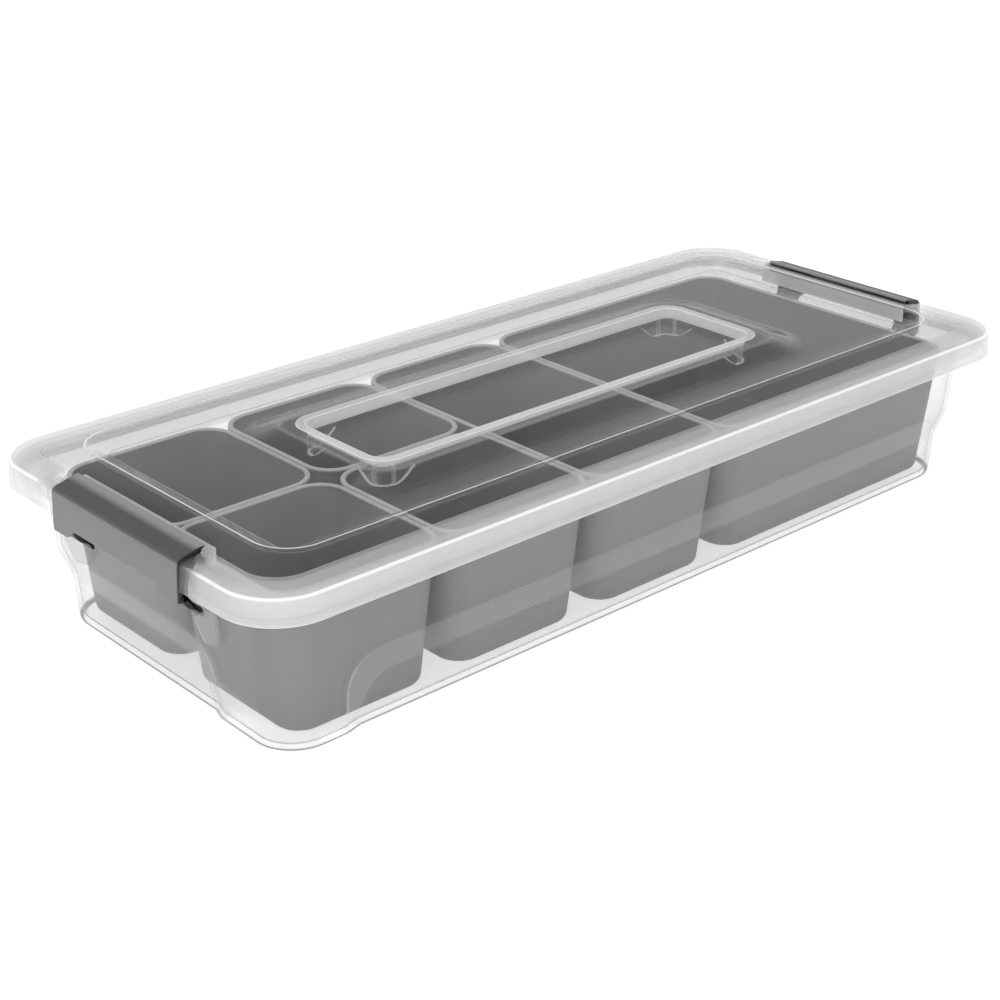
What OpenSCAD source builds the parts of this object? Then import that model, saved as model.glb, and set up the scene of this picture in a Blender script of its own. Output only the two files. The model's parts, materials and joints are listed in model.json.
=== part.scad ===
/* [Overall] */
// Side of one square cell of the cup layout
pitch = 86.4; // [80:0.2:92]
// Wall of the clear tub and lid
wall = 1.8; // [1.4:0.1:2.2]
// Wall of the cups
cup_wall = 1.6; // [1.2:0.1:2.0]

/* [Tub] */
// Length of the tub's underside
base_l = 436.2; // [430:0.2:440]
// Width of the tub's underside
base_w = 172.6; // [170:0.2:176]
// Height where the ledge starts to step outward
ledge_low_z = 22; // [18:0.5:26]
// Height where the ledge ends and the upper wall starts
ledge_top_z = 36; // [32:0.5:40]
// Top of the tub's rim
rim_z = 76; // [75.4:0.1:76.2]
// Half length of the inset panel on the long sides beside a corner foot
panel_x = 188.5; // [180:0.5:194]
// Half width of the inset panel on the ends beside a corner foot
panel_y = 43.7; // [40:0.5:48]
// Corner radius of the inset panels
panel_r = 17; // [12:0.5:20]

/* [Lid] */
// Length over the bottom edge of the skirt
lid_l = 477.8; // [476:0.2:480]
// Width over the bottom edge of the skirt
lid_w = 211.3; // [208:0.2:214]
// Height of the bottom edge of the skirt
skirt_z = 68.1; // [67:0.1:70]
// Height of the highest line of the lid
crown_z = 85.2; // [84.6:0.1:86]
// Height of the lid's recessed floor
recess_z = 79.4; // [79:0.1:80]
// Height of the raised panel in the middle
plateau_z = 83.9; // [83:0.1:84.4]
// Inside length of the pocket in the raised panel
pocket_l = 243.1; // [236:0.1:250]
// Inside width of the pocket in the raised panel
pocket_w = 58.9; // [52:0.1:64]

/* [Cups] */
// Top of the cups' rolled rims
cup_rim_z = 69.6; // [68:0.1:69.7]
// Underside of the cups
cup_base_z = 2.4; // [2.3:0.1:4]
// Corner radius at the rim
cup_r = 14.5; // [10:0.5:18]
// How far each side leans in from rim to base
cup_draft = 5.4; // [3:0.1:7]

/* [Latches] */
// Length of a latch along the end of the box
latch_l = 96.4; // [90:0.2:96.4]
// Distance of the hinge pin from the middle of the box
pin_x = 228.4; // [228.2:0.1:228.6]
// Height of the hinge pin
pin_z = 79; // [78.9:0.05:79.05]
// Radius of the hinge pin
pin_r = 1.5; // [1.2:0.1:1.5]

/* [Hidden] */
$fn = 32;

slice = 0.02;            // thickness of a slice that a hull joins
clear_tint = [0.82, 0.85, 0.88, 0.35];
cup_grey = [0.45, 0.45, 0.46];
cover_grey = [0.44, 0.44, 0.45];
hook_black = [0.09, 0.09, 0.09];

// Tub sections: [length, width, corner radius, height]
tub_base = [base_l, base_w, 21, 0];
tub_ledge_low = [base_l + 1.8, base_w + 1.6, 19, ledge_low_z];
tub_ledge_top = [base_l + 9.8, base_w + 7.8, 19, ledge_top_z];
tub_top = [base_l + 14.6, base_w + 13.4, 20, rim_z];
foot_base = [base_l + 4.8, base_w + 4.4, 20, 0];
floor_t = 2;             // thickness of the tub's floor
flange_l = 469;          // tub rim flange, under the lid
flange_w = 202.5;
flange_r = 25;
flange_t = 10.1;         // width of the flange, from its edge into the wall
flange_lip_z = 70;       // bottom of the flange's turned-down lip

// Lid sections from the skirt inward
lid_skirt = [lid_l, lid_w, 27.9, skirt_z];
lid_edge = [lid_l - 2.8, lid_w - 2.8, 26.5, 79.8];
lid_shoulder = [lid_l - 26.9, lid_w - 28, 16, 82.3];
lid_crown = [lid_l - 56.5, lid_w - 53.3, 19, crown_z];
recess_floor = [lid_l - 77.5, lid_w - 76.7, 6, recess_z];
recess_slope = (lid_crown[0] - recess_floor[0]) / (crown_z - recess_z);
recess_mouth = [lid_crown[0] + 2 * recess_slope, lid_crown[1] + 2 * recess_slope, 19, crown_z + 2];
plateau_base = [292.3, 105.7, 25, recess_z - 1];
plateau_top = [263.6, 81.3, 14.4, plateau_z];
pocket_r = 8;
pocket_floor_z = 79.2;
lip_w = 4.8;             // low lip around the pocket
lip_z = 84.6;
tab_z = 70.1;            // bottom of the tabs that hang under the pocket's corners
tab_reach_x = 22;        // how far a tab runs from the corner along the length
tab_reach_y = 19;
recess_cap_z = 84;       // the recess walls stop here, under the crown

// Latch notch in the lid and the dip below it in the tub's rim
notch_x = 222.1;
notch_half = 48.8;
dip_half = 50.5;
dip_z = 73.5;
dip_from_x = 200;        // the dip starts inside the tub's end wall
apron_z = 72.5;          // the lid's wall behind a latch reaches down to here
apron_top_z = 82;
ear_w = 3.5;             // hinge ears of the lid
ear_r = 2.6;
bore_r = pin_r + 0.08;
catch_x = 227;           // outer face of the tub's catch ribs
catch_l = 12;            // length of a catch rib
trim_z = 58;             // above this, nothing of the tub stands out past the catch ribs
big = 300;

// Side views of the ears and catch ribs on the tub's end walls: distance from the middle, height
gusset_outline = [[222.5, 56], [233, 56], [233, 53.5], [229, 42], [222.5, 38]];
catch_outline = [[223, 65], [225.5, 65], [catch_x, 62.5], [catch_x, 60], [223, 58.5]];

// Cups: each stays this far inside its cell
cup_gap = 0.3;
cup_rim_w = 2.4;         // width of the rolled rim
cup_lip = 0.8;           // how far the rim stands out past the wall
cup_rim_h = 2.2;
cup_fillet = 3.7;        // rounding under the cup
cup_curve = [1, 1.1];    // middle of that rounding: distance in and height

// Latch cover: points of its side view, as distance from the middle and height
cover_t = 1.8;
bead_r = 1.1;            // bead along the cover's inner edge
bead_at = [225.5, 82.9];
crown_at = [237.4, 81.1];
face_x = 239.2;
foot_z = 61.5;           // bottom of the two feet at a latch's ends
grip_z = 66;             // bottom edge between the feet
grip_half = 30;          // half length of the raised edge
grip_blend = 6;          // length of the slope from raised edge to foot

// Black inner piece
liner_t = 1.6;
plate_x = face_x - cover_t - 0.4;    // outer face of the plate behind the cover's face
plate_top_z = pin_z + ear_r - 0.6;
plate_low_z = grip_z + 1;
web_half = 1.2;          // half height of the web where it leaves the barrel
barrel_r = ear_r - 0.3;
hook_y = 34;             // the hooks run from here to the latch's ends
hook_nose = [[234.5, 58.6], [230, 56.2], [228.6, 52.9], [227.4, 53.2], [228, 57.4], [232.9, 60.6]];
knuckle_x = 223;         // inner end of the knuckles beside the lid's wall
knuckles = [[-46, -22], [18, 35]];

// Rounded rectangle with true arcs
module rounded(l, w, r) {
    square([l - 2 * r, w], center = true);
    square([l, w - 2 * r], center = true);
    for (sx = [-1, 1], sy = [-1, 1])
        translate([sx * (l / 2 - r), sy * (w / 2 - r)])
            circle(r);
}

// Thin slice of a section, grown outward by g and shifted up by dz
module slice_at(s, g = 0, dz = 0) {
    translate([0, 0, s[3] + dz])
        linear_extrude(slice)
            rounded(s[0] + 2 * g, s[1] + 2 * g, max(s[2] + g, 1));
}

// Convex skin through sections
module loft(sections, g = 0, dz = 0) {
    hull()
        for (s = sections)
            slice_at(s, g, dz);
}

// Extruded rounded ring between z0 and z1
module ring(l, w, r, t, z0, z1) {
    translate([0, 0, z0])
        linear_extrude(z1 - z0)
            difference() {
                rounded(l, w, r);
                rounded(l - 2 * t, w - 2 * t, r - t);
            }
}

// Box given by two corners
module span(a, b) {
    translate(a)
        cube(b - a);
}

// Copies on both ends of the box
module both_ends() {
    for (turn = [0, 180])
        rotate([0, 0, turn])
            children();
}

// Copies near both ends of a latch
module both_sides() {
    for (s = [0, 1])
        mirror([0, s, 0])
            children();
}

// Profile in length and height, extruded from y0 to y1
module along_y(y0, y1) {
    translate([0, y1, 0])
        rotate([90, 0, 0])
            linear_extrude(y1 - y0)
                children();
}

// Side view of the zone outside an inset panel of half size h
module beside_panel(h, t) {
    difference() {
        translate([h - panel_r, 0])
            square([big, ledge_top_z]);
        translate([h - panel_r, ledge_top_z - panel_r])
            circle(panel_r + t);
        translate([h - panel_r - t, -1])
            square([panel_r + 2 * t, ledge_top_z - panel_r + 1]);
    }
}

// Zone of one corner foot
module foot_zone(t) {
    intersection() {
        along_y(0, big)
            beside_panel(panel_x, t);
        rotate([90, 0, 90])
            linear_extrude(big)
                beside_panel(panel_y, t);
    }
}

// Two feet on opposite corners, as solid columns under the ledge
module feet(g, t, z0) {
    intersection() {
        loft([foot_base, tub_ledge_top], g);
        both_ends()
            foot_zone(t);
        span([-big, -big, z0], [big, big, ledge_top_z]);
    }
}

// Ear that stands beside a latch on the tub's end wall
module gusset() {
    along_y(notch_half + 0.1, notch_half + 0.1 + cup_wall)
        polygon(gusset_outline);
}

// Rib on the tub's end wall that a latch hook closes over
module catch_rib() {
    along_y(hook_y, hook_y + catch_l)
        polygon(catch_outline);
}

// Clear tub: floor, stepped walls, two corner feet, rim flange
module tub() {
    color(clear_tint)
        difference() {
            union() {
                difference() {
                    union() {
                        loft([tub_base, tub_ledge_low]);
                        loft([tub_ledge_low, tub_ledge_top, tub_top], 0, -slice);
                        feet(0, 0, 0);
                    }
                    intersection() {
                        union() {
                            loft([tub_base, tub_ledge_low], -wall, slice);
                            loft([tub_ledge_low, tub_ledge_top, tub_top], -wall, slice);
                            feet(-wall, wall, floor_t);
                        }
                        span([-big, -big, floor_t], [big, big, big]);
                    }
                }
                ring(flange_l, flange_w, flange_r, flange_t, rim_z - wall, rim_z - slice);
                ring(flange_l, flange_w, flange_r, wall, flange_lip_z, rim_z - slice);
                both_ends()
                    both_sides() {
                        gusset();
                        catch_rib();
                    }
            }
            both_ends() {
                span([dip_from_x, -dip_half, dip_z], [big, dip_half, big]);
                span([catch_x, -dip_half, trim_z], [big, dip_half, big]);
            }
        }
}

// Moulded skin of the lid before its notches are cut
module lid_skin() {
    difference() {
        union() {
            difference() {
                loft([lid_skirt, lid_edge, lid_shoulder, lid_crown], 0, -slice);
                loft([lid_skirt, lid_edge, lid_shoulder, lid_crown], -wall, -wall);
            }
            intersection() {
                loft([recess_floor, recess_mouth], wall, -wall);
                span([-big, -big, 0], [big, big, recess_cap_z]);
            }
            loft([plateau_base, plateau_top], 0, -slice);
        }
        difference() {
            loft([recess_floor, recess_mouth]);
            loft([plateau_base, plateau_top], 0, -slice);
        }
    }
}

// Pocket in the raised panel, with its lip and its four hanging corner tabs
module pocket() {
    translate([0, 0, pocket_floor_z - wall])
        linear_extrude(lip_z - pocket_floor_z + wall)
            rounded(pocket_l + 2 * wall, pocket_w + 2 * wall, pocket_r + wall);
    translate([0, 0, plateau_z - wall])
        linear_extrude(lip_z - plateau_z + wall)
            rounded(pocket_l + 2 * lip_w, pocket_w + 2 * lip_w, pocket_r + lip_w);
    intersection() {
        ring(pocket_l, pocket_w, pocket_r, wall, tab_z, pocket_floor_z);
        for (sx = [-1, 1], sy = [-1, 1])
            translate([sx * pocket_l / 2, sy * pocket_w / 2, 0])
                cube([2 * tab_reach_x, 2 * tab_reach_y, big], center = true);
    }
}

// Ear beside a latch notch, bored for the hinge pin
module hinge_ear() {
    translate([pin_x, notch_half + ear_w, pin_z])
        rotate([90, 0, 0])
            cylinder(r = ear_r, h = ear_w);
}

// Clear lid: skirt, shoulder, recess, raised panel with pocket, latch notches and hinge ears
module lid() {
    color(clear_tint)
        difference() {
            union() {
                difference() {
                    union() {
                        difference() {
                            lid_skin();
                            loft([plateau_base, plateau_top], -wall, -wall);
                        }
                        pocket();
                    }
                    translate([0, 0, pocket_floor_z])
                        linear_extrude(big)
                            rounded(pocket_l, pocket_w, pocket_r);
                    both_ends()
                        span([notch_x, -notch_half, 0], [big, notch_half, big]);
                }
                both_ends() {
                    span([notch_x - wall, -notch_half, apron_z], [notch_x, notch_half, apron_top_z]);
                    both_sides()
                        hinge_ear();
                }
            }
            both_ends()
                translate([pin_x, -notch_half - ear_w - 1, pin_z])
                    rotate([-90, 0, 0])
                        cylinder(r = bore_r, h = 2 * (notch_half + ear_w + 1));
        }
}

// Cup that fills a block of cells from corner a to corner b of the layout grid
module cup(a, b) {
    l = (b[0] - a[0]) * pitch - 2 * cup_gap;
    w = (b[1] - a[1]) * pitch - 2 * cup_gap;
    inset = cup_lip + cup_draft;
    top = [l - 2 * cup_lip, w - 2 * cup_lip, cup_r, cup_rim_z - slice];
    low = [l - 2 * inset, w - 2 * inset, cup_r - 2, cup_base_z + cup_fillet];
    curve = [low[0] - 2 * cup_curve[0], low[1] - 2 * cup_curve[0], low[2] - cup_curve[0],
             cup_base_z + cup_curve[1]];
    base = [low[0] - 2 * cup_fillet, low[1] - 2 * cup_fillet, low[2] - cup_fillet, cup_base_z];
    color(cup_grey)
        translate([(a[0] + b[0]) * pitch / 2, (a[1] + b[1]) * pitch / 2, 0])
            difference() {
                union() {
                    loft([top, low, curve, base]);
                    translate([0, 0, cup_rim_z - cup_rim_h])
                        linear_extrude(cup_rim_h)
                            rounded(l, w, cup_r + cup_lip);
                }
                loft([top, low, curve, base], -cup_wall, cup_wall);
            }
}

// Outline of the cover's skin at distance d inside its outer face
module cover_outline(d) {
    polygon([[bead_at[0], bead_at[1] + bead_r - d],
             [crown_at[0] - d / 2, crown_at[1] - d],
             [crown_at[0] + 1.1 - d, crown_at[1] - 1.3 - d / 2],
             [face_x - d, foot_z - 1],
             [face_x - 30, foot_z - 1],
             [face_x - 30, bead_at[1]]]);
}

// Grey cover at the +X end: curved top with a bead, outer face with two feet
module cover() {
    color(cover_grey)
        difference() {
            union() {
                along_y(-latch_l / 2, latch_l / 2)
                    difference() {
                        cover_outline(0);
                        cover_outline(cover_t);
                        square([bead_at[0], big]);
                    }
                along_y(-latch_l / 2, latch_l / 2)
                    translate(bead_at)
                        circle(bead_r);
            }
            // Raised bottom edge between the feet
            rotate([90, 0, 90])
                linear_extrude(big)
                    polygon([[-grip_half - grip_blend, foot_z], [-grip_half, grip_z],
                             [grip_half, grip_z], [grip_half + grip_blend, foot_z],
                             [grip_half + grip_blend, 0], [-grip_half - grip_blend, 0]]);
            span([0, -big, 0], [big, big, foot_z]);
        }
}

// Black inner piece at the +X end: hinge barrel, pin, knuckles, back plate and two hooks
module hook() {
    color(hook_black) {
        // Pin through the lid's ears
        translate([pin_x, notch_half + ear_w - 0.3, pin_z])
            rotate([90, 0, 0])
                cylinder(r = pin_r, h = 2 * (notch_half + ear_w - 0.3));
        along_y(-latch_l / 2 + 0.5, latch_l / 2 - 0.5) {
            translate([pin_x, pin_z])
                circle(barrel_r);
            // Web from the barrel to the plate, and the plate behind the face
            polygon([[pin_x, pin_z + web_half],
                     [plate_x - liner_t, plate_top_z - 2.3],
                     [plate_x, plate_low_z],
                     [plate_x - liner_t, plate_low_z],
                     [plate_x - 2 * liner_t, plate_top_z - 4.2],
                     [pin_x, pin_z - web_half]]);
        }
        for (k = knuckles)
            along_y(k[0], k[1])
                translate([knuckle_x, pin_z - barrel_r])
                    square([pin_x - knuckle_x, barrel_r + web_half]);
        both_sides()
            along_y(hook_y, latch_l / 2 - 0.1)
                polygon(concat([[plate_x, plate_low_z + 1], [plate_x, foot_z + 0.8]],
                               hook_nose,
                               [[plate_x - liner_t - 0.6, foot_z + 2],
                                [plate_x - liner_t - 0.3, plate_low_z + 1]]));
    }
}

module latch_cover_left() {
    rotate([0, 0, 180])
        cover();
}

module latch_cover_right() {
    cover();
}

module latch_hook_left() {
    rotate([0, 0, 180])
        hook();
}

module latch_hook_right() {
    hook();
}

// The cups, placed on the layout grid
module cup_near_end() {
    cup([-2.5, -1], [-1.5, 0]);
}

module cup_far_end() {
    cup([-2.5, 0], [-1.5, 1]);
}

module cup_near_mid() {
    cup([-1.5, -1], [-0.5, 0]);
}

module cup_far_mid() {
    cup([-1.5, 0], [-0.5, 1]);
}

module cup_wide() {
    cup([-0.5, -1], [0.5, 1]);
}

module cup_long() {
    cup([0.5, -1], [2.5, 1]);
}

tub();
lid();
latch_cover_left();
latch_cover_right();
latch_hook_left();
latch_hook_right();
cup_near_end();
cup_far_end();
cup_near_mid();
cup_far_mid();
cup_wide();
cup_long();
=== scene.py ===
import json
import math

import bpy
import numpy as np
from mathutils import Matrix, Vector


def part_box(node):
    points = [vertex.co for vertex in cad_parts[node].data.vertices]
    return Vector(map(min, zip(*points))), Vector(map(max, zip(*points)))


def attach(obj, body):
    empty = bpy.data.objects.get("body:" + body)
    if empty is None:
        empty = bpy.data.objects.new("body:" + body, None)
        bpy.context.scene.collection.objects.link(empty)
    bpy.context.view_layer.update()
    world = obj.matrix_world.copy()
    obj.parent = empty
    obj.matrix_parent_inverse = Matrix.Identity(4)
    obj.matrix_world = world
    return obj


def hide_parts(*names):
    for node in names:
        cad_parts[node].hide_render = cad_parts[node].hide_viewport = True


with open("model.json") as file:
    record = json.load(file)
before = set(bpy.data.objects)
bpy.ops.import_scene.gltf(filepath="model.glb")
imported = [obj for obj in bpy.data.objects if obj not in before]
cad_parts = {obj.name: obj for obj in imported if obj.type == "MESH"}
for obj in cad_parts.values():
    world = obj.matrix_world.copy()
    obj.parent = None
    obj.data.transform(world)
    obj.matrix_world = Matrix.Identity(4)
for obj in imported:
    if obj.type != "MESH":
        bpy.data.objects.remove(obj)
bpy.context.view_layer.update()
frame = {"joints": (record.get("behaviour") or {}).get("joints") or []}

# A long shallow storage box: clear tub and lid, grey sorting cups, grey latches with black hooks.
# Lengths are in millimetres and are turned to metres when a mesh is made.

MM = 0.001

# ---------------------------------------------------------------- driving sizes, from the frame
lid_low, lid_high = (np.array(p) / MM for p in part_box("lid"))
tub_high = np.array(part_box("tub")[1]) / MM
cover_low, cover_high = (np.array(p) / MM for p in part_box("latch_cover_right"))
LID_A, LID_B = lid_high[0], lid_high[1]      # half length and half width over the skirt
CROWN_Z = lid_high[2]
FLANGE_A, FLANGE_B, RIM_Z = tub_high
hinge = next(j for j in frame["joints"] if j["name"] == "latch_right_swing")
PIN_X, PIN_Z = hinge["pos_m"][0] / MM, hinge["pos_m"][2] / MM
LATCH_HALF = cover_high[1]
FACE_X = cover_high[0]                        # outer face of a latch
NOTCH_X = 222.1                               # the lid is cut back to here behind each latch
NOTCH_HALF = LATCH_HALF + 0.6
DIP_HALF = LATCH_HALF + 2.3
DIP_Z = RIM_Z - 2.5                           # the tub's rim dips to here behind each latch
WALL = 1.8
PAST_X, PAST_Z = 260.0, 100.0                 # outside the box, for the far corner of a cut
PIN_R, BARREL_R = 1.5, 2.3
SHARP_ANGLE = math.radians(38)                # edges that bend more than this stay hard

# ---------------------------------------------------------------- shapes


def bend(keys, radii, flats, bends, steps=6):
    """A profile through the key rows with each inner corner rounded: a quadratic curve that leaves the
    line one radius before the corner and joins the next line one radius after it. Each row also carries
    two finish numbers: flats gives them for each straight stretch, and bends the value that a corner's
    curve swells to halfway round. In the clear shells the swell of the first number paints a highlight
    line along a bend, and that of the second a dark line."""
    keys, flats, bends = (np.asarray(v, float) for v in (keys, flats, bends))
    t = np.linspace(0, 1, steps + 1)[:, None]
    swell = np.sin(np.pi * t)
    rows = [np.append(keys[0], flats[0])[None]]
    for k, radius in enumerate(radii, 1):
        corner = keys[k]
        back, ahead = keys[k - 1] - corner, keys[k + 1] - corner
        size_back, size_ahead = (np.linalg.norm(v[[0, 3]]) + 1e-9 for v in (back, ahead))
        start = corner + back * min(radius / size_back, 0.49)
        end = corner + ahead * min(radius / size_ahead, 0.49)
        curve = (1 - t) ** 2 * start + 2 * t * (1 - t) * corner + t ** 2 * end
        finish = (flats[k - 1] * (1 - t) + flats[k] * t) * (1 - swell) + bends[k - 1] * swell
        rows.append(np.hstack([curve, finish]))
    rows.append(np.append(keys[-1], flats[-1])[None])
    return np.vstack(rows)


def fill_rows(rows, step, top):
    """Adds evenly spaced rows to the upright stretches of a profile below a height."""
    filled = [rows[:1]]
    for before, after in zip(rows[:-1], rows[1:]):
        climb = abs(after[3] - before[3])
        count = int(np.ceil(climb / step)) if min(before[3], after[3]) < top else 1
        share = np.linspace(0, 1, max(count, 1) + 1)[1:, None]
        filled.append(before + (after - before) * share)
    return np.vstack(filled)


def rounded_rings(rows, arc, along_x, along_y):
    """Rounded rectangles, one for each row (half length, half width, corner radius, height): a point is
    the corner circle's centre plus the radius in its direction, anticlockwise from the +X side."""
    a, b, r, z = (rows[:, k][:, None] for k in range(4))
    turn = np.linspace(0, np.pi / 2, arc + 1)
    one = np.ones_like
    parts = []
    for quarter, side in enumerate((along_y, along_x[::-1], along_y[::-1], along_x)):
        face = quarter * np.pi / 2
        cx = (one(side), side, -one(side), side)[quarter]
        cy = (side, one(side), side, -one(side))[quarter]
        parts.append(np.stack([cx, cy, np.cos(face) * one(side), np.sin(face) * one(side)]))
        corner_x, corner_y = ((1, 1), (-1, 1), (-1, -1), (1, -1))[quarter]
        parts.append(np.stack([corner_x * one(turn), corner_y * one(turn),
                               np.cos(face + turn), np.sin(face + turn)]))
    cx, cy, dx, dy = np.hstack(parts)
    x = cx * (a - r) + dx * r
    y = cy * (b - r) + dy * r
    return np.stack([x, y, z + 0 * x], axis=-1)


def grid_faces(rows, columns):
    """Quads between neighbouring rows of a grid whose columns close into a ring."""
    start = np.arange(rows - 1)[:, None] * columns
    left = np.arange(columns)[None, :]
    right = (left + 1) % columns
    above = start + columns
    quads = np.stack([start + left, start + right, above + right, above + left], axis=-1)
    return quads.reshape(-1, 4).tolist()


def lofted(points):
    """Vertices and faces of a closed skin through rings: quads between them and a flat cap at each end."""
    rows, columns = points.shape[:2]
    faces = grid_faces(rows, columns)
    faces.append(list(range(columns))[::-1])
    faces.append(list(range((rows - 1) * columns, rows * columns)))
    return points.reshape(-1, 3), faces


def extruded(outline, y0, y1, edge=0.35, steps=3):
    """A side view (distance, height) carried along Y, its two ends rounded by drawing the outline in by
    the edge radius along a quarter circle."""
    outline = np.asarray(outline, float)
    ahead = np.roll(outline, -1, 0) - outline
    behind = outline - np.roll(outline, 1, 0)
    tangent = ahead / (np.linalg.norm(ahead, axis=1)[:, None] + 1e-9)
    tangent = tangent + behind / (np.linalg.norm(behind, axis=1)[:, None] + 1e-9)
    tangent /= np.linalg.norm(tangent, axis=1)[:, None] + 1e-9
    inward = np.stack([-tangent[:, 1], tangent[:, 0]], axis=1)
    turn = np.linspace(0, np.pi / 2, steps + 1)
    draw = np.concatenate([edge * (1 - np.sin(turn)), edge * (1 - np.sin(turn[::-1]))])
    y = np.concatenate([y0 + edge * (1 - np.cos(turn)), y1 - edge * (1 - np.cos(turn[::-1]))])
    flat = outline[None] + inward[None] * draw[:, None, None]
    points = np.stack([flat[..., 0], y[:, None] + 0 * flat[..., 0], flat[..., 1]], axis=-1)
    # A side view drawn anticlockwise in (x, z) faces -Y, so rings that go towards +Y are reversed
    return lofted(points[:, ::-1])


def smooth_outline(corners, radii, steps=5):
    """A closed outline with each corner rounded by a quadratic curve of its own reach."""
    corners = np.asarray(corners, float)
    t = np.linspace(0, 1, steps + 1)[:, None]
    rows = []
    for k, corner in enumerate(corners):
        back = corners[k - 1] - corner
        ahead = corners[(k + 1) % len(corners)] - corner
        start = corner + back * min(radii[k] / np.linalg.norm(back), 0.49)
        end = corner + ahead * min(radii[k] / np.linalg.norm(ahead), 0.49)
        rows.append((1 - t) ** 2 * start + 2 * t * (1 - t) * corner + t ** 2 * end)
    return np.vstack(rows)


def circle_outline(centre, radius, count=40):
    """Points of a circle, anticlockwise."""
    turn = np.linspace(0, 2 * np.pi, count, endpoint=False)
    return np.stack([centre[0] + radius * np.cos(turn), centre[1] + radius * np.sin(turn)], axis=1)


def joined(parts):
    """Several (vertices, faces) as one."""
    points, faces, start = [], [], 0
    for part_points, part_faces in parts:
        points.append(part_points)
        faces += [[start + k for k in face] for face in part_faces]
        start += len(part_points)
    return np.vstack(points), faces


def unturned(part):
    """A part as it is, for the +X end of the box."""
    return part


def half_turn(part):
    """A part turned half round the height axis, for the other end of the box."""
    points, faces = part
    return points * [-1, -1, 1], faces


def mirrored(part):
    """A part mirrored across the length axis, its faces turned over so that they still face outward."""
    points, faces = part
    return points * [1, -1, 1], [face[::-1] for face in faces]


def mesh_of(name, part):
    """A mesh in metres from vertices and faces in millimetres, smooth except at its sharp edges."""
    points, faces = part
    mesh = bpy.data.meshes.new(name)
    mesh.from_pydata((points * MM).tolist(), [], faces)
    mesh.polygons.foreach_set("use_smooth", np.ones(len(mesh.polygons), bool))
    mesh.set_sharp_from_angle(angle=SHARP_ANGLE)
    mesh.validate()
    mesh.update()
    return mesh


def object_of(name, mesh):
    """A new object in the scene."""
    ob = bpy.data.objects.new(name, mesh)
    bpy.context.scene.collection.objects.link(ob)
    return ob


def handed_in(ob, material, body, node):
    """An object with its one material, as a piece that rides on a body and stands for a node."""
    ob.data.materials.clear()
    ob.data.materials.append(material)
    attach(ob, body)
    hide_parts(node)
    return ob


def piece(name, part, material, body, node):
    """A finished piece from vertices and faces."""
    return handed_in(object_of(name, mesh_of(name, part)), material, body, node)


def store(mesh, name, values):
    """One number for each vertex, kept on the mesh under a name."""
    layer = mesh.attributes.new(name, "FLOAT", "POINT")
    layer.data.foreach_set("value", np.asarray(values, np.float32))


# ---------------------------------------------------------------- materials


def linear(code):
    """The linear colour of an sRGB hex value, with alpha."""
    channels = [int(code[k:k + 2], 16) / 255 for k in (1, 3, 5)]
    return [c / 12.92 if c <= 0.04045 else ((c + 0.055) / 1.055) ** 2.4 for c in channels] + [1.0]


def new_material(name):
    """An empty node material and its node tree."""
    made = bpy.data.materials.new(name)
    made.use_nodes = True
    made.node_tree.nodes.clear()
    return made, made.node_tree


def add(tree, kind, links=(), **settings):
    """Adds a node, sets its properties or sockets by name, and links (socket, source) pairs to it."""
    node = tree.nodes.new(kind)
    for key, value in settings.items():
        if hasattr(node, key):
            setattr(node, key, value)
        else:
            node.inputs[key.replace("_", " ")].default_value = value
    for socket, source in links:
        tree.links.new(source, node.inputs[socket])
    return node


BAND_BLEND = 0.4                              # a band fades in over twice this height
POLYPROPYLENE_IOR = 1.49


def moulded_grey(name, base, dark, light, grain_mm, roughness, grain_depth, painted_light_bands=()):
    """Injection-moulded polypropylene in grey: an even matte surface with the fine spark texture of its
    mould, faint cloudiness in the pigment and slightly uneven gloss. Each painted light band, given as
    (height in millimetres, colour), paints light or shade: the surface takes that colour from that height
    up."""
    made, tree = new_material(name)
    place = add(tree, "ShaderNodeTexCoord").outputs["Object"]
    grain = add(tree, "ShaderNodeTexNoise", [("Vector", place)], Scale=1 / (grain_mm * MM), Detail=2.0,
                Roughness=0.6)
    cloud = add(tree, "ShaderNodeTexNoise", [("Vector", place)], Scale=22.0, Detail=3.0)
    speckle = add(tree, "ShaderNodeValToRGB", [("Fac", grain.outputs["Fac"])])
    speckle.color_ramp.elements[0].position = 0.34
    speckle.color_ramp.elements[0].color = linear(dark)
    speckle.color_ramp.elements[1].position = 0.68
    speckle.color_ramp.elements[1].color = linear(light)
    tone = add(tree, "ShaderNodeMix", [("Factor", cloud.outputs["Fac"])], data_type="RGBA")
    tree.links.new(speckle.outputs["Color"], tone.inputs["A"])
    tone.inputs["B"].default_value = linear(base)
    colour = tone.outputs["Result"]
    height = add(tree, "ShaderNodeSeparateXYZ", [("Vector", place)]).outputs["Z"]
    # Painted light: each band paints the surface a lighter or darker colour from its height up
    for start, band_colour in painted_light_bands:
        above = add(tree, "ShaderNodeMapRange", [("Value", height)],
                    From_Min=(start - BAND_BLEND) * MM, From_Max=(start + BAND_BLEND) * MM)
        band = add(tree, "ShaderNodeMix", [("Factor", above.outputs["Result"])], data_type="RGBA")
        tree.links.new(colour, band.inputs["A"])
        band.inputs["B"].default_value = linear(band_colour)
        colour = band.outputs["Result"]
    gloss = add(tree, "ShaderNodeMapRange", [("Value", grain.outputs["Fac"])],
                To_Min=roughness - 0.08, To_Max=roughness + 0.08)
    bump = add(tree, "ShaderNodeBump", [("Height", grain.outputs["Fac"])], Strength=grain_depth,
               Distance=0.15 * MM)
    shader = add(tree, "ShaderNodeBsdfPrincipled", [("Base Color", colour),
                 ("Roughness", gloss.outputs["Result"]), ("Normal", bump.outputs["Normal"])],
                 IOR=POLYPROPYLENE_IOR)
    add(tree, "ShaderNodeOutputMaterial", [("Surface", shader.outputs["BSDF"])])
    return made


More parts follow.
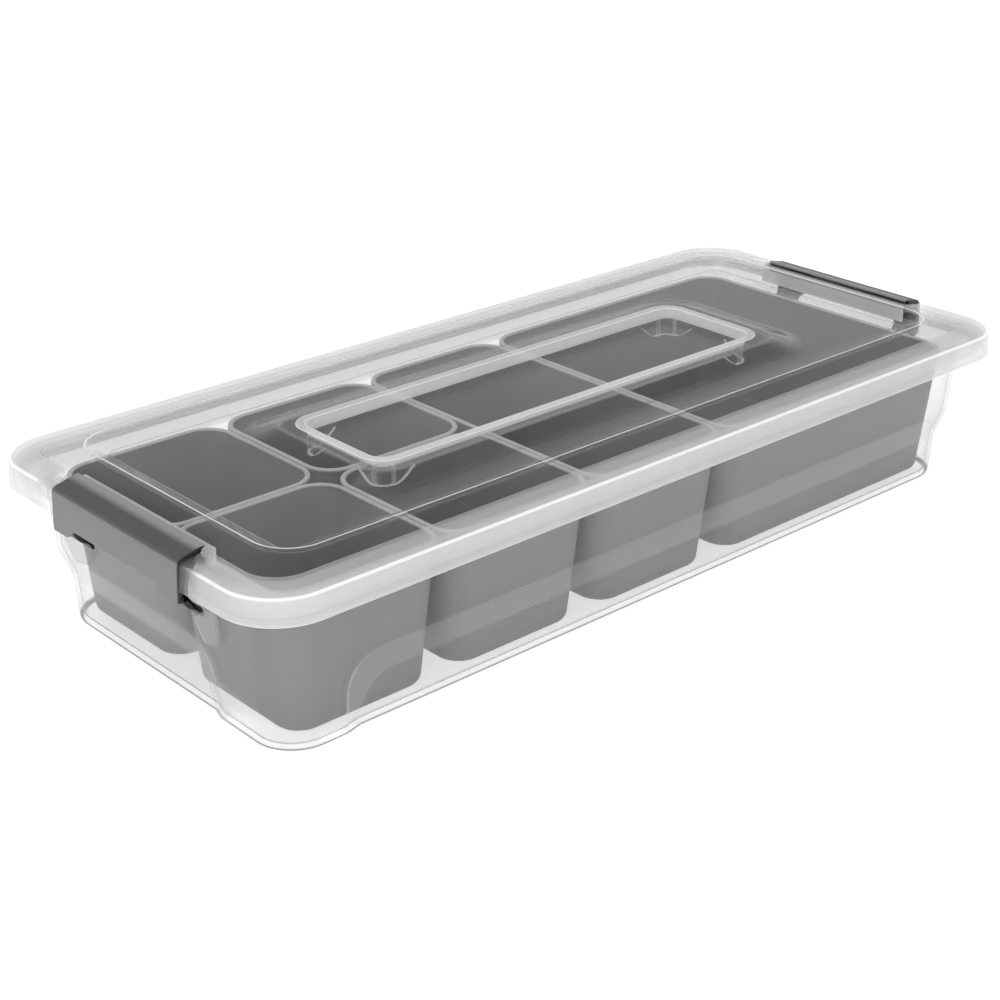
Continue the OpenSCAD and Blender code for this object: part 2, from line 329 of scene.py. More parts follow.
def moulded_clear(name, rim_dark, milk_colour, roughness):
    """Clear polypropylene, injection moulded: each skin lets light straight through, mirrors a little of
    the room, and looks darker where it is seen on edge because the path through the wall is longer. Where
    the wall was chilled in the mould it turns milky. Along the bends the mesh's milk number also paints
    highlight lines, and its tint number paints dark lines of shade; the mesh says where."""
    made, tree = new_material(name)
    place = add(tree, "ShaderNodeTexCoord").outputs["Object"]
    # Painted highlight and shade: milk also carries the bright lines painted along bends, and tint the dark
    # lines
    milk_and_highlight = add(tree, "ShaderNodeAttribute", attribute_name="milk_and_highlight").outputs["Fac"]
    tint_and_shade = add(tree, "ShaderNodeAttribute", attribute_name="tint_and_shade").outputs["Fac"]
    edge_on = add(tree, "ShaderNodeLayerWeight", Blend=0.5).outputs["Facing"]
    # Flow marks: very shallow waves about 25 mm apart. The haze varies over about 8 mm.
    waves = add(tree, "ShaderNodeTexNoise", [("Vector", place)], Scale=40.0, Detail=1.0)
    bump = add(tree, "ShaderNodeBump", [("Height", waves.outputs["Fac"])], Strength=0.004,
               Distance=1.0 * MM)
    haze = add(tree, "ShaderNodeTexNoise", [("Vector", place)], Scale=120.0, Detail=4.0)
    haze_range = add(tree, "ShaderNodeMapRange", [("Value", haze.outputs["Fac"])],
                     To_Min=0.94, To_Max=1.05)
    steep = add(tree, "ShaderNodeMath", [(0, edge_on)], operation="POWER")
    steep.inputs[1].default_value = 4.0
    darker = add(tree, "ShaderNodeMath", [(0, steep.outputs["Value"])], operation="MULTIPLY")
    darker.inputs[1].default_value = 0.4
    both = add(tree, "ShaderNodeMath", [(0, darker.outputs["Value"]), (1, tint_and_shade)], operation="ADD",
               use_clamp=True)
    passed = add(tree, "ShaderNodeMix", [("Factor", both.outputs["Value"])], data_type="RGBA")
    passed.inputs["A"].default_value = linear("#fcfcfc")
    passed.inputs["B"].default_value = linear(rim_dark)
    through = add(tree, "ShaderNodeBsdfTransparent", [("Color", passed.outputs["Result"])])
    shine = add(tree, "ShaderNodeBsdfGlossy", [("Normal", bump.outputs["Normal"])], Roughness=roughness,
                Color=linear("#ffffff"))
    # Mirroring of a thin skin, the same from both sides: a few percent face on, growing edge on
    grazing = add(tree, "ShaderNodeMath", [(0, edge_on)], operation="POWER")
    grazing.inputs[1].default_value = 5.0
    mirroring = add(tree, "ShaderNodeMath", [(0, grazing.outputs["Value"])], operation="MULTIPLY_ADD")
    mirroring.inputs[1].default_value = 0.6
    mirroring.inputs[2].default_value = 0.03
    skin = add(tree, "ShaderNodeMixShader", [(0, mirroring.outputs["Value"]),
               (1, through.outputs["BSDF"]), (2, shine.outputs["BSDF"])])
    # Milky plastic scatters light back from its lit side and glows with the light that comes from behind
    lit_side = add(tree, "ShaderNodeBsdfPrincipled", IOR=POLYPROPYLENE_IOR, Roughness=0.35,
                   Base_Color=linear(milk_colour), Emission_Color=linear("#ffffff"))
    # Painted highlight: the milky side is given a little emission where the milk number is high, at the
    # sharp bends, so that they glow as bright lines
    painted_glow = add(tree, "ShaderNodeMapRange", [("Value", milk_and_highlight)], From_Min=0.5, From_Max=0.95, To_Max=0.8)
    tree.links.new(painted_glow.outputs["Result"], lit_side.inputs["Emission Strength"])
    far_side = add(tree, "ShaderNodeBsdfTranslucent", Color=linear(milk_colour))
    cloudy = add(tree, "ShaderNodeMixShader", [(1, lit_side.outputs["BSDF"]), (2, far_side.outputs["BSDF"])])
    cloudy.inputs[0].default_value = 0.45
    amount = add(tree, "ShaderNodeMath", [(0, milk_and_highlight), (1, haze_range.outputs["Result"])],
                 operation="MULTIPLY", use_clamp=True)
    whole = add(tree, "ShaderNodeMixShader", [(0, amount.outputs["Value"]), (1, skin.outputs["Shader"]),
                (2, cloudy.outputs["Shader"])])
    add(tree, "ShaderNodeOutputMaterial", [("Surface", whole.outputs["Shader"])])
    return made


def floor_paint():
    """Matt white paint with a very faint roller texture."""
    made, tree = new_material("matt_white_floor_paint")
    place = add(tree, "ShaderNodeTexCoord").outputs["Object"]
    roller = add(tree, "ShaderNodeTexNoise", [("Vector", place)], Scale=6.0, Detail=2.0)
    tone = add(tree, "ShaderNodeMix", [("Factor", roller.outputs["Fac"])], data_type="RGBA")
    tone.inputs["A"].default_value = linear("#fbfbfb")
    tone.inputs["B"].default_value = linear("#ffffff")
    shader = add(tree, "ShaderNodeBsdfPrincipled", [("Base Color", tone.outputs["Result"])],
                 Roughness=0.9, Emission_Color=linear("#ffffff"), Emission_Strength=0.6)
    add(tree, "ShaderNodeOutputMaterial", [("Surface", shader.outputs["BSDF"])])
    return made


CUP_RIM_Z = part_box("cup_wide")[1][2] / MM
SHADED_TOP_Z, BEAD_HIGHLIGHT_Z = 79.4, 83.1        # painted shade on a latch cover's top from here up, and a painted highlight on its bead from there up
clear_tub = moulded_clear("clear_polypropylene_tub", "#6e6e6f", "#f3f3f3", 0.04)
clear_lid = moulded_clear("clear_polypropylene_lid", "#8c8c8d", "#fafafa", 0.04)
# Painted highlight: the cups are painted pale from just below the rim up, for the light on the tops of their
# rolled rims
cup_grey = moulded_grey("grey_polypropylene_spark_texture", "#7d7d7e", "#757576", "#858586", 0.4, 0.6,
                        0.05, painted_light_bands=[(CUP_RIM_Z - 0.7, "#dededf")])
# Painted shade and highlight: a latch cover's top is painted darker and its bead paler, for how the light
# falls on them
cover_grey = moulded_grey("grey_polypropylene_latch", "#7a7a7b", "#767677", "#7e7e7f", 0.5, 0.5, 0.06,
                          painted_light_bands=[(SHADED_TOP_Z, "#555556"), (BEAD_HIGHLIGHT_Z, "#a2a2a3")])
hook_black = moulded_grey("black_acetal_hook", "#121213", "#0e0e0f", "#1b1b1c", 0.5, 0.4, 0.1)

# ---------------------------------------------------------------- tub

PANEL_X, PANEL_Y = 188.5, 43.7                # the inset panels end here beside a corner foot
PANEL_R, PANEL_TOP = 17.0, 36.0
SLOPE_R, SLOPE_IN, SLOPE_TOP = 20.0, 6.5, 23.0   # inner edge of the panels' sloped border
BORDER_BLUR = 0.55                            # half width of the milky lines along the border
BORDER_HAZE = 0.13
FLOOR_Z = 2.0
FLANGE_Z = 70.0                               # lower edge of the rim flange's turned-down lip
CHILLED_Z = 66.0                              # the wall is a little milky from here to the rim
FLANGE_CUT_X, FLANGE_CUT_Z = 227.0, 58.0      # beside a latch the flange is cut away past here
DENSE_STEP = 0.75                             # spacing of the wall's columns where a panel has its corner
RUN_X, RUN_Y = 203.0, 72.5                    # half the straight stretch of a long and a short side
RIB_ENDS = (34.0, 46.0)                       # from here to there along Y, for catch ribs and noses


def panel_distances(points):
    """Distances of the tub wall's points outside a panel's outer outline and outside the inner outline of
    its sloped border: each is a straight side and a straight top with one rounded corner by the foot."""
    x, y, z = points[..., 0], points[..., 1], points[..., 2]
    on_end = np.abs(x) / FLANGE_A > np.abs(y) / FLANGE_B
    from_foot_x = np.where(y < 0, x, -x) + PANEL_X
    from_foot_y = np.where(x < 0, y, -y) + PANEL_Y
    inward = np.where(on_end, from_foot_y, from_foot_x)

    def outside(start, top, radius):
        right = radius - (inward - start)
        up = z - top + radius
        corner = np.hypot(np.maximum(right, 0), np.maximum(up, 0))
        return corner + np.minimum(np.maximum(right, up), 0) - radius

    return outside(0, PANEL_TOP, PANEL_R), outside(SLOPE_IN, SLOPE_TOP, SLOPE_R)


def panel_share(points):
    """How far each point of the tub's wall is sunk into its inset panel: it grows from 0 at the panel's
    outer outline to 1 at its inner one."""
    outer, inner = panel_distances(points)
    share = inner / np.maximum(inner - outer, 1e-6)
    return np.where(outer >= 0, 0.0, np.where(inner <= 0, 1.0, 1 - share))


def panel_milk_and_highlight(points):
    """Milkiness of the wall round a panel: a thin painted highlight line along both outlines of its border,
    where the wall bends, and a trace of haze on the slope between them."""
    outer, inner = panel_distances(points)
    by_foot = np.interp(points[..., 2], [PANEL_TOP - 6, PANEL_TOP - 1], [1.0, 0.25])
    lines = 0.5 * by_foot * np.exp(-(outer / BORDER_BLUR) ** 2)
    lines += 0.2 * np.exp(-(inner / BORDER_BLUR) ** 2)
    return np.maximum(lines, np.where((outer < 0) & (inner > 0), BORDER_HAZE, 0.0))


def tub_wall(rows, arc, along_x, along_y):
    """Rings of the tub's wall: the plain wall, drawn inward by 2.4 to 3 mm where a panel is inset."""
    plain = rounded_rings(rows, arc, along_x, along_y)
    depth = np.interp(rows[:, 3], [0, SLOPE_TOP, PANEL_TOP], [2.4, 3.0, 2.6])
    sunk_rows = rows.copy()
    sunk_rows[:, 0] -= depth
    sunk_rows[:, 1] -= depth * 0.93
    sunk = rounded_rings(sunk_rows, arc, along_x, along_y)
    share = panel_share(plain)[..., None]
    return plain + (sunk - plain) * share


def cut_away(ob, boxes):
    """Cuts boxes, each (low corner, high corner), out of an object's mesh."""
    corners = np.array([[i, j, k] for i in (0, 1) for j in (0, 1) for k in (0, 1)], float)
    sides = [[0, 1, 3, 2], [4, 6, 7, 5], [0, 4, 5, 1], [2, 3, 7, 6], [0, 2, 6, 4], [1, 5, 7, 3]]
    parts = [(low + corners * (np.subtract(high, low)), sides) for low, high in boxes]
    cutter = object_of("cutter", mesh_of("cutter", joined(parts)))
    cut = ob.modifiers.new("cut", "BOOLEAN")
    cut.operation = "DIFFERENCE"
    cut.solver = "EXACT"
    cut.object = cutter
    depsgraph = bpy.context.evaluated_depsgraph_get()
    finished = bpy.data.meshes.new_from_object(ob.evaluated_get(depsgraph))
    ob.modifiers.clear()
    ob.data = finished
    bpy.data.objects.remove(cutter)


def both_ends(low, high):
    """A box near the +X end and its half-turned copy at the other end."""
    low, high = np.array(low, float), np.array(high, float)
    return [(low, high), (np.array([-high[0], -high[1], low[2]]), np.array([-low[0], -low[1], high[2]]))]


def build_tub():
    """The tub: underside, wall with inset panels and feet, rim flange with its turned-down lip, and the
    inner skin down to the floor. Columns are closest together where a panel's corner is. Each key of the
    profile is (half length, half width, corner radius, height)."""
    a0, b0 = 220.5, 88.5                      # plain wall at the floor
    a1, b1 = 225.4, 93.0                      # and under the flange
    z1 = RIM_Z - WALL
    keys = [[a0 - 9, b0 - 9, 11, 0], [a0 - 0.2, b0 - 0.2, 20, 0],
            [223.0, 90.2, 19, PANEL_TOP], [a1 - 0.5, b1 - 0.6, 19.8, CHILLED_Z], [a1, b1, 20, z1 - 0.2],
            [FLANGE_A - WALL, FLANGE_B - WALL, 23.4, z1], [FLANGE_A - WALL, FLANGE_B - WALL, 23.4, FLANGE_Z],
            [FLANGE_A, FLANGE_B, 25, FLANGE_Z], [FLANGE_A, FLANGE_B, 25, RIM_Z],
            [a1 - WALL, b1 - WALL, 18.4, RIM_Z], [a1 - 0.5 - WALL, b1 - 0.6 - WALL, 18.2, CHILLED_Z],
            [223.0 - WALL, 90.2 - WALL, 17.2, PANEL_TOP],
            [a0 - WALL, b0 - WALL, 18.2, FLOOR_Z], [a0 - 9, b0 - 9, 11, FLOOR_Z]]
    clear, chilled, rim = [0.0, 0.0], [0.3, 0.0], [0.2, 0.0]
    flats = [clear, clear, clear, chilled, rim, rim, rim, rim, rim, chilled, clear, clear, clear]
    # Painted highlights and shade: each bend swells in milk to a bright line, and the underside's outer edge
    # and the inner floor corner swell in tint to dark lines
    bends = [[0.2, 1.0], [0.0, 0.0], [0.2, 0.0], [0.3, 0.0], [0.4, 0.0], [0.4, 0.0], [0.6, 0.0],
             [0.6, 0.0], [0.5, 0.0], [0.2, 0.0], [0.0, 0.0], [0.15, 0.3]]
    reach = [2.2, 1.5, 1.0, 2.0, 0.6, 0.5, 0.5, 1.2, 1.0, 1.0, 1.5, 2.5]
    rows = fill_rows(bend(keys, reach, flats, bends), 1.1, PANEL_TOP + 2)
    dense = np.arange(PANEL_X - 34, PANEL_X + 3, DENSE_STEP) / RUN_X
    along_x = np.concatenate([-dense[::-1], np.linspace(-0.74, 0.74, 24), dense])
    dense = np.arange(PANEL_Y - 30, PANEL_Y + 3, DENSE_STEP) / RUN_Y
    along_y = np.concatenate([-dense[::-1], np.linspace(-0.16, 0.16, 4), dense])
    rings = tub_wall(rows[:, :4], 14, along_x, along_y)
    columns = rings.shape[1]
    outside_rows = (np.arange(len(rows)) < np.argmax(rows[:, 3] > PANEL_TOP + 1))[:, None]
    milk_and_highlight = np.maximum(rows[:, 4:5], panel_milk_and_highlight(rings) * outside_rows)
    ob = object_of("clear_tub", mesh_of("clear_tub", lofted(rings)))
    store(ob.data, "milk_and_highlight", milk_and_highlight.ravel())
    store(ob.data, "tint_and_shade", np.repeat(rows[:, 5], columns))
    cut_away(ob, both_ends((200, -DIP_HALF, DIP_Z), (PAST_X, DIP_HALF, PAST_Z)))
    cut_away(ob, both_ends((FLANGE_CUT_X, -DIP_HALF, FLANGE_CUT_Z), (PAST_X, DIP_HALF, PAST_Z)))
    ear = smooth_outline([[222.5, 56], [222.5, 38], [229, 42], [233, 53.5], [233, 56]],
                         [0.1, 0.1, 1.5, 2.0, 0.6])
    rib = smooth_outline([[223, 65], [223, 58.5], [226.6, 60], [226.6, 62.5], [225.5, 65]],
                         [0.1, 0.1, 0.5, 0.5, 0.5])
    ear_part = extruded(ear, NOTCH_HALF + 0.1, NOTCH_HALF + 1.7, 0.4)
    rib_part = extruded(rib, *RIB_ENDS, 0.4)
    one_end = [ear_part, mirrored(ear_part), rib_part, mirrored(rib_part)]
    extras = [(part, 0.16) for part in one_end + [half_turn(part) for part in one_end]]
    return with_extras(ob, extras, clear_tub, "tub", "tub")


FEATURE_TINT = 0.05


def with_extras(ob, extras, material, body, node):
    """Joins small moulded features into a shell's mesh and hands it in as one piece. Each feature comes
    with its milkiness, which along a tab's edges and ribs is a painted highlight: one number, or one for
    each of its vertices."""
    mesh = mesh_of(ob.name + "_features", joined([part for part, milk_and_highlight in extras]))
    store(mesh, "milk_and_highlight", np.concatenate([np.broadcast_to(milk_and_highlight, len(part[0])) for part, milk_and_highlight in extras]))
    store(mesh, "tint_and_shade", np.full(len(mesh.vertices), FEATURE_TINT))
    features = object_of("features", mesh)
    with bpy.context.temp_override(active_object=ob, object=ob, selected_objects=[ob, features],
                                   selected_editable_objects=[ob, features]):
        bpy.ops.object.join()
    ob.data.set_sharp_from_angle(angle=SHARP_ANGLE)
    return handed_in(ob, material, body, node)


# ---------------------------------------------------------------- lid

POCKET_A, POCKET_B = 121.55, 29.45            # inside of the pocket in the raised panel
POCKET_R, POCKET_Z = 8.0, 79.2
TAB_Z = 70.2                                  # the tabs under the pocket's corners end here
TAB_X, TAB_Y, TAB_WALL = 20.0, 18.0, 1.6      # how far a tab reaches along each side
TAB_RISE = 6.5                                # its lower edge is this much higher at its two ends
EAR_R, EAR_LENGTH = 2.6, 3.5                  # the hinge ears beside a latch


def build_lid():
    """The lid as one closed skin: from the pocket's underside outward under the raised panel, recess and
    shoulder to the skirt, round its bottom edge, and back inward over the top into the pocket. Each key
    of the profile is (half length, half width, corner radius, height)."""
    skirt_z, edge_z, shoulder_z, floor_z, panel_z, lip_z = lid_low[2], 79.8, 82.3, 79.4, 83.9, 84.6
    under = [[110, 18, 3, POCKET_Z - WALL],
             [POCKET_A + WALL, POCKET_B + WALL, 9.8, POCKET_Z - WALL],
             [POCKET_A + WALL + 0.3, POCKET_B + WALL + 0.3, 9.8, panel_z - WALL],
             [131.0, 39.85, 13.6, panel_z - WALL], [145.2, 51.9, 24, floor_z - WALL],
             [200.7, 67.9, 6.5, floor_z - WALL], [210.9, 79.2, 19.2, CROWN_Z - WALL],
             [224.9, 91.1, 15.5, shoulder_z - WALL], [LID_A - 3.2, LID_B - 3.2, 24.7, 78.0],
             [LID_A - WALL, LID_B - WALL, 26.1, skirt_z]]
    over = [[LID_A, LID_B, 27.9, skirt_z], [LID_A - 0.3, LID_B - 0.3, 27.7, skirt_z + 2.6],
            [LID_A - 1.4, LID_B - 1.4, 26.5, edge_z], [225.45, 91.65, 16, shoulder_z],
            [210.65, 79.0, 19, CROWN_Z], [200.15, 67.3, 6, floor_z], [146.15, 52.85, 25, floor_z],
            [131.8, 40.65, 14.4, panel_z], [POCKET_A + 4.8, POCKET_B + 4.8, 12.8, panel_z],
            [POCKET_A + 4.5, POCKET_B + 4.5, 12.5, lip_z], [POCKET_A, POCKET_B, POCKET_R, lip_z],
            [POCKET_A - 0.4, POCKET_B - 0.4, 7.6, POCKET_Z], [110, 18, 3, POCKET_Z]]
    # Painted highlight: the pocket's lip is made milkier than the shoulder so that its top shows bright
    clear, slope, milky, skirt, lip = [0, 0], [0.03, 0.0], [0.4, 0.0], [0.42, 0.0], [0.7, 0.0]
    flats = [clear, clear, clear, slope, clear, slope, slope, milky, skirt, skirt, skirt, skirt, milky,
             slope, slope, clear, slope, clear, lip, lip, lip, clear]
    # Painted highlights and shade: each bend swells in milk to a bright line, and a few swell in tint to a
    # thin dark line
    bends = [[0.1, 0], [0.05, 0], [0.02, 0], [0.02, 0], [0.02, 0], [0.1, 0], [0.3, 0], [0.5, 0],
             [0.6, 0], [0.9, 0], [0.5, 0.1], [0.9, 0], [0.5, 0], [0.9, 0], [0.35, 0.1], [0.1, 0.1],
             [0.25, 0], [0.1, 0.1], [0.8, 0], [0.9, 0], [0.7, 0]]
    reach = [0.8, 0.8, 1.5, 3.0, 1.0, 1.0, 0.5, 1.4, 0.6, 0.5, 0.8, 1.3, 0.5, 0.9,
             0.8, 4.0, 2.0, 0.3, 0.35, 0.5, 0.9]
    rows = bend(under + over, reach, flats, bends)
    along_x, along_y = np.linspace(-0.98, 0.98, 24), np.linspace(-0.98, 0.98, 12)
    part = lofted(rounded_rings(rows[:, :4], 20, along_x, along_y))
    columns = len(part[0]) // len(rows)
    ob = object_of("clear_lid", mesh_of("clear_lid", part))
    store(ob.data, "milk_and_highlight", np.repeat(rows[:, 4], columns))
    store(ob.data, "tint_and_shade", np.repeat(rows[:, 5], columns))
    cut_away(ob, both_ends((NOTCH_X, -NOTCH_HALF, 0), (PAST_X, NOTCH_HALF, PAST_Z)))
    apron = smooth_outline([[NOTCH_X - WALL, 72.6], [NOTCH_X, 72.6], [NOTCH_X, 81.4],
                            [NOTCH_X - WALL, 81.4]], [0.4, 0.4, 0.4, 0.4])
    apron_part = extruded(apron, -NOTCH_HALF, NOTCH_HALF, 0.2)
    ear_part = extruded(circle_outline((PIN_X, PIN_Z), EAR_R), NOTCH_HALF, NOTCH_HALF + EAR_LENGTH, 0.4)
    extras = [(turned(part), milk_and_highlight) for turned in (unturned, half_turn)
              for part, milk_and_highlight in ((apron_part, 0.6), (ear_part, 0.14), (mirrored(ear_part), 0.14))]
    extras += [corner_tab(side_x, side_y) for side_x in (-1, 1) for side_y in (-1, 1)]
    return with_extras(ob, extras, clear_lid, "lid", "lid")


def corner_tab(side_x, side_y):
    """A tab under one corner of the pocket, with its milkiness: a strip that follows the corner's arc and
    runs along both sides, with its lower edge rising towards its two ends. The lower edge and two low ribs
    on the inside are milky as painted highlight lines; a rib's height in millimetres is also its milkiness."""
    arc = POCKET_R * np.pi / 2
    run_x, run_y = TAB_X - POCKET_R, TAB_Y - POCKET_R
    s = np.linspace(-run_y, arc + run_x, 60)
    turn = np.clip(s, 0, arc) / POCKET_R
    centre_x, centre_y = POCKET_A - POCKET_R, POCKET_B - POCKET_R
    out_x, out_y = np.cos(turn), np.sin(turn)
    slide_y = np.minimum(s, 0)
    slide_x = np.maximum(s - arc, 0)
    share = np.abs(2 * (s + run_y) / (arc + run_x + run_y) - 1)
    low = TAB_Z + TAB_RISE * np.clip((share - 0.45) / 0.55, 0, 1) ** 1.3
    rib = 0.5 * np.exp(-((share - 0.3) / 0.05) ** 2)
    rings = []
    inner = POCKET_R - TAB_WALL - rib
    top = POCKET_Z - 0.3
    for radius, height in ((POCKET_R, top), (POCKET_R, low + 0.5), (POCKET_R, low), (inner, low),
                           (inner, low + 0.5), (inner, top)):
        x = centre_x + out_x * radius - slide_x
        y = centre_y + out_y * radius + slide_y
        rings.append(np.stack([side_x * x, side_y * y, height + 0 * s], axis=-1))
    part = lofted(np.stack(rings, axis=1))
    if side_x * side_y > 0:
        part = part[0], [face[::-1] for face in part[1]]
    # Painted highlight: the rows along the lower edge are milky so that it shows as a bright line
    across = np.array([0.05, 0.05, 0.7, 0.7, 0.05, 0.05])
    return part, np.maximum(across, rib[:, None]).ravel()


# ---------------------------------------------------------------- cups


def build_cup(node):
    """A cup as one closed skin: rounded underside, leaning walls, a rolled rim, and the same inside.
    Its size and place come from its node's box."""
    low, high = (np.array(p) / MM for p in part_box(node))
    a, b = (high[0] - low[0]) / 2, (high[1] - low[1]) / 2
    base, rim = low[2], high[2]
    lean = 6.2                                # lip and draft together, at the base
    thick = 1.6
    lip_z = rim - 2.2                         # lower edge of the rolled rim
    keys = [[a - lean - 8, b - lean - 8, 4.5, base],
            [a - lean - 0.2, b - lean - 0.2, 12.3, base],
            [a - 0.85, b - 0.85, 14.4, lip_z],
            [a, b, 15.3, lip_z],
            [a, b, 15.3, rim],
            [a - 2.4, b - 2.4, 12.9, rim],
            [a - 2.5, b - 2.5, 12.8, rim - 1.5],
            [a - lean - thick, b - lean - thick, 10.7, base + thick],
            [a - lean - 8, b - lean - 8, 4.3, base + thick]]
    plain = np.zeros((len(keys) - 1, 2))
    rows = bend(keys, [3.7, 0.3, 0.4, 0.9, 0.7, 0.4, 4.5], plain, plain[:-1], 7)
    rings = rounded_rings(rows, 18, np.linspace(-0.95, 0.95, 9), np.linspace(-0.95, 0.95, 9))
    rings += [(low[0] + high[0]) / 2, (low[1] + high[1]) / 2, 0]
    return piece(node + "_moulding", lofted(rings), cup_grey, node, node)


# ---------------------------------------------------------------- latches

COVER_T = 1.8
COVER_HALF = LATCH_HALF - 0.9                 # the black inner piece shows past the cover's ends
GRIP_HALF, GRIP_BLEND = 30.0, 7.0             # the raised finger grip and the slope down to each foot
FOOT_Z, GRIP_Z = cover_low[2], cover_low[2] + 4.5
KNUCKLE_X = 223.0                             # inner end of the hinge knuckles
KNUCKLES = ((-46, -22), (18, 35))             # from here to there along Y
END_WALL = 1.7
COVER_ROWS = 110                              # rings along the cover between its rounded ends
COVER_EDGE, EDGE_STEPS = 0.5, 4               # the rounding of those ends
FACE_BEND_Z = 78.0                            # the cover's face is upright below here


def cover_part():
    """The grey cover at the +X end: its side view carried along the latch, with the lower edge lifted
    between the two feet by a smooth step, and both ends rounded."""
    bead_x, bead_z = 225.5, 82.9
    top = [[bead_x, bead_z + 1.05], [237.4, 81.1], [FACE_X - 0.9, 78.6], [FACE_X, FOOT_Z]]
    under = [[FACE_X - COVER_T, FOOT_Z], [FACE_X - 0.9 - COVER_T, FACE_BEND_Z], [236.3, 79.4],
             [bead_x + 1.6, bead_z - 0.9]]
    bead = [[bead_x + 0.3, bead_z - 1.1], [bead_x - 1.1, bead_z - 0.5], [bead_x - 1.0, bead_z + 0.8]]
    outline = smooth_outline(top + under + bead, [0.8, 1.6, 3.0, 0.5, 0.5, 1.5, 1.0, 0.6, 0.3, 0.5, 0.5])
    # That runs clockwise in (distance, height), and extruded() takes the other way round
    points, faces = extruded(outline[::-1], -COVER_HALF, COVER_HALF, COVER_EDGE, EDGE_STEPS)
    ends = points.reshape(-1, len(outline), 3)
    near, far = ends[:EDGE_STEPS + 1], ends[EDGE_STEPS + 1:]
    straight = COVER_HALF - 0.6
    y = np.concatenate([near[:, 0, 1], np.linspace(-straight, straight, COVER_ROWS), far[:, 0, 1]])
    rings = np.concatenate([near, np.repeat(near[-1:], COVER_ROWS, axis=0), far])
    rings[..., 1] = y[:, None]
    step = np.clip((GRIP_HALF + GRIP_BLEND - np.abs(y)) / GRIP_BLEND, 0, 1)
    step = step ** 2 * (3 - 2 * step)
    lift = (GRIP_Z - FOOT_Z) * step[:, None]
    drop = np.clip((FACE_BEND_Z - rings[..., 2]) / (FACE_BEND_Z - FOOT_Z), 0, 1)
    rings[..., 2] += lift * drop
    return lofted(rings)


def hook_part():
    """The black inner piece at the +X end: pin, barrel, knuckles, web and back plate, and a hook and an
    end wall on each side, all extruded along the latch."""
    plate_x = FACE_X - COVER_T - 0.45
    web = smooth_outline([[PIN_X, PIN_Z - 1.2], [plate_x - 3.2, 77.0], [plate_x - 1.9, GRIP_Z + 1.2],
                          [plate_x - 0.3, GRIP_Z + 1.2], [plate_x - 1.6, 78.4], [PIN_X, PIN_Z + 1.2]],
                         [0.3, 2.0, 0.3, 0.3, 1.5, 0.3])
    nose = smooth_outline([[plate_x, GRIP_Z + 2], [plate_x - 1.8, GRIP_Z + 2], [plate_x - 2.2, 63.5],
                           [232.9, 60.6], [228.1, 57.2], [227.5, 53.3], [228.6, 53.0],
                           [230, 56.2], [234.5, 58.6], [plate_x, FOOT_Z + 0.8]],
                          [0.2, 0.2, 1.0, 1.2, 1.4, 0.3, 0.3, 1.0, 1.5, 0.6])
    wall = smooth_outline([[FACE_X - 0.5, FOOT_Z + 0.6], [FACE_X - 1.3, 78.4], [237.0, 80.7],
                           [226.6, 83.0], [226.6, 81.4], [PIN_X + 1.5, 80.0], [plate_x - 3.6, 76.5],
                           [plate_x - 2.6, FOOT_Z + 0.6]],
                          [0.4, 2.4, 2.4, 0.3, 0.3, 1.5, 1.2, 0.4])
    knuckle = smooth_outline([[KNUCKLE_X, PIN_Z - 2.3], [PIN_X, PIN_Z - 2.3], [PIN_X, PIN_Z + 2.2],
                              [KNUCKLE_X, PIN_Z + 2.2]], [0.6, 0.1, 0.1, 0.6])
    end = LATCH_HALF - 0.05
    nose_part = extruded(nose, RIB_ENDS[0], end)
    wall_part = extruded(wall, end - END_WALL, end, 0.3)
    knuckle_parts = [extruded(knuckle, y0, y1, 0.5) for y0, y1 in KNUCKLES]
    axis = (PIN_X, PIN_Z)
    pin_half, barrel_half = NOTCH_HALF + 3.1, LATCH_HALF - 0.5
    pin_part = extruded(circle_outline(axis, PIN_R), -pin_half, pin_half, 0.3)
    barrel_part = extruded(circle_outline(axis, BARREL_R), -barrel_half, barrel_half, 0.4)
    web_part = extruded(web, -barrel_half, barrel_half)
    return joined([pin_part, barrel_part, web_part, nose_part, mirrored(nose_part), wall_part,
                   mirrored(wall_part)] + knuckle_parts)


build_tub()
build_lid()
for cup_node in ("cup_near_end", "cup_far_end", "cup_near_mid", "cup_far_mid", "cup_wide", "cup_long"):
    build_cup(cup_node)
for end, turned in (("right", unturned), ("left", half_turn)):
    piece("latch_cover_" + end + "_moulding", turned(cover_part()), cover_grey, "latch_" + end,
          "latch_cover_" + end)
    piece("latch_hook_" + end + "_moulding", turned(hook_part()), hook_black, "latch_" + end,
          "latch_hook_" + end)

# ---------------------------------------------------------------- floor, light and camera

scene = bpy.context.scene
scene.view_settings.view_transform = "Standard"

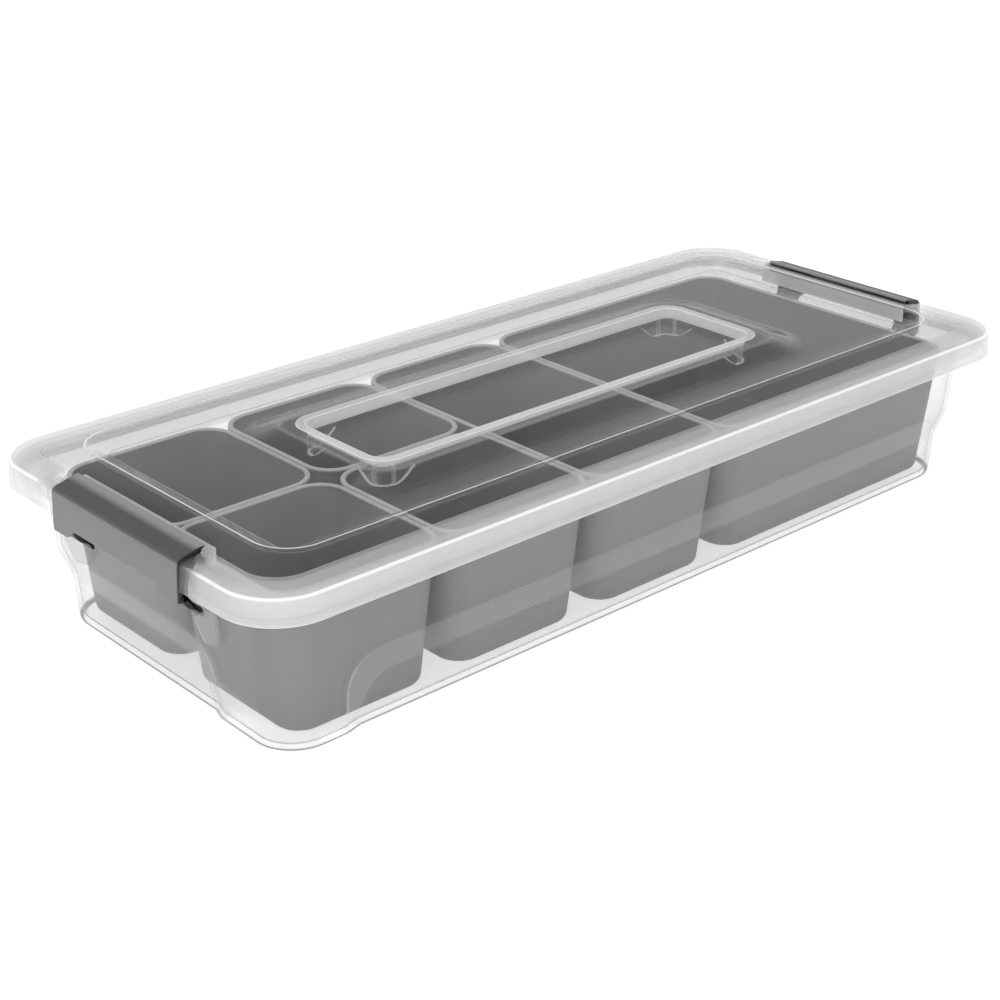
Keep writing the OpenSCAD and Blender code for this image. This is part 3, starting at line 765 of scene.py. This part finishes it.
FLOOR_REACH = 30.0                            # metres
floor_mesh = bpy.data.meshes.new("floor")
floor_corners = [(x * FLOOR_REACH, y * FLOOR_REACH, 0) for x, y in ((-1, -1), (1, -1), (1, 1), (-1, 1))]
floor_mesh.from_pydata(floor_corners, [], [(0, 1, 2, 3)])
floor = bpy.data.objects.new("floor", floor_mesh)
floor_mesh.materials.append(floor_paint())
scene.collection.objects.link(floor)

# White studio: bright walls all round and a dimmer ceiling
world = bpy.data.worlds.new("white studio")
world.use_nodes = True
room = world.node_tree
direction = add(room, "ShaderNodeTexCoord").outputs["Generated"]
toward = add(room, "ShaderNodeSeparateXYZ", [("Vector", direction)])
ceiling = add(room, "ShaderNodeMapRange", [("Value", toward.outputs["Z"])],
              From_Min=0.15, From_Max=0.85, To_Min=1.05, To_Max=0.2)
room.links.new(ceiling.outputs["Result"], room.nodes["Background"].inputs["Strength"])
room.nodes["Background"].inputs["Color"].default_value = linear("#ffffff")
scene.world = world


def soft_box(name, place, size, power):
    """A square area lamp that faces the middle of the box. Place and size are in metres."""
    lamp = bpy.data.lights.new(name, "AREA")
    lamp.size, lamp.energy = size, power
    ob = bpy.data.objects.new(name, lamp)
    ob.location = place
    ob.rotation_euler = (-Vector(place)).to_track_quat("-Z", "Y").to_euler()
    scene.collection.objects.link(ob)


soft_box("overhead_soft_box", (-0.2, 0.5, 1.6), 1.4, 4.5)
soft_box("front_soft_box", (-1.3, -1.2, 0.8), 1.2, 7)

# The camera as it was solved from the picture: it looks at the aim point, in metres, from this direction
AZIMUTH, ELEVATION, DISTANCE = math.radians(-42.11), math.radians(24.39), 0.95778
AIM = Vector((-0.00919, 0.01770, 0.01538))
FOCAL_MM, SENSOR_MM = 69.06, 36.0
away = Vector((math.sin(AZIMUTH) * math.cos(ELEVATION), -math.cos(AZIMUTH) * math.cos(ELEVATION),
               math.sin(ELEVATION)))
camera = bpy.data.cameras.new("camera")
camera.lens, camera.sensor_width = FOCAL_MM, SENSOR_MM
camera.clip_start = 0.01
view = bpy.data.objects.new("camera", camera)
turn = away.to_track_quat("Z", "Y").to_matrix().to_4x4()
view.matrix_world = Matrix.Translation(AIM + away * DISTANCE) @ turn
scene.collection.objects.link(view)
scene.camera = view
